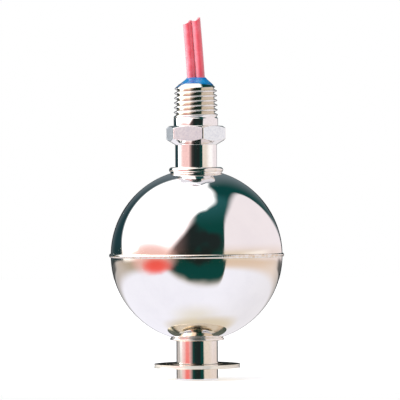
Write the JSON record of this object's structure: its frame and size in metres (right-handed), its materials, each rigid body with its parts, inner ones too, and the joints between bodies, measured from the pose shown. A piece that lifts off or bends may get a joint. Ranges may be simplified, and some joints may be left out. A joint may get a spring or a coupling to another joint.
{
  "type": "float level switch",
  "caption": "Vertical tank float switch: ball float sliding on a stem under a hexagon and tapered pipe thread, with leads out of the top.",
  "frame": {"origin": "on the stem's axis in the upper face of the hexagon, at the foot of the pipe thread", "axes": "+Z along the stem's axis, out through the thread towards the leads; +X to the right of someone who faces the switch; the retaining ring opens towards +Y"},
  "size_m": [0.0518, 0.0518, 0.1067],
  "materials": {
    "stem_body": "turned and polished stainless steel, hexagon flats left satin",
    "retaining_ring": "stamped stainless spring steel",
    "potting_seal": "blue epoxy, glossy meniscus",
    "potting_fill": "soft silicone potting",
    "lead_insulation": "red insulation",
    "copper_strand": "bare copper strands",
    "splice": "tinned crimp barrel",
    "return_wire": "tinned copper wire",
    "reed_sleeve": "natural plastic tube",
    "reed_glass": "green-tinted reed glass",
    "reed_metal": "plated nickel-iron reed",
    "float_shell": "deep-drawn stainless sheet, mirror polished",
    "float_guide_tube": "drawn stainless tube",
    "float_seam_bead": "weld bead, lightly polished",
    "collar": "turned stainless, polished",
    "float_magnet": "sintered ferrite",
    "spring_washer": "spring steel"
  },
  "bodies": {
    "stem": {"stem_body": "stem_body", "retaining_ring": "retaining_ring", "potting_seal": "potting_seal", "potting_fill": "potting_fill", "left_lead_jacket": "lead_insulation", "right_lead_jacket": "lead_insulation", "left_lead_strands": "copper_strand", "right_lead_strands": "copper_strand", "upper_splice": "splice", "return_splice": "splice", "lower_splice": "splice", "return_wire": "return_wire", "reed_sleeve": "reed_sleeve", "reed_glass": "reed_glass", "upper_reed": "reed_metal", "lower_reed": "reed_metal"},
    "float": {"float_upper_shell": "float_shell", "float_lower_shell": "float_shell", "float_guide_tube": "float_guide_tube", "float_seam_bead": "float_seam_bead", "upper_collar": "collar", "lower_collar": "collar", "float_magnet": "float_magnet", "upper_magnet_washer": "spring_washer", "lower_magnet_washer": "spring_washer"}
  },
  "joints": [
    {"name": "float_slide", "type": "slide", "parent": "stem", "child": "float", "axis": [0, 0, 1], "range_m": [-0.00685, 0.007]}
  ]
}
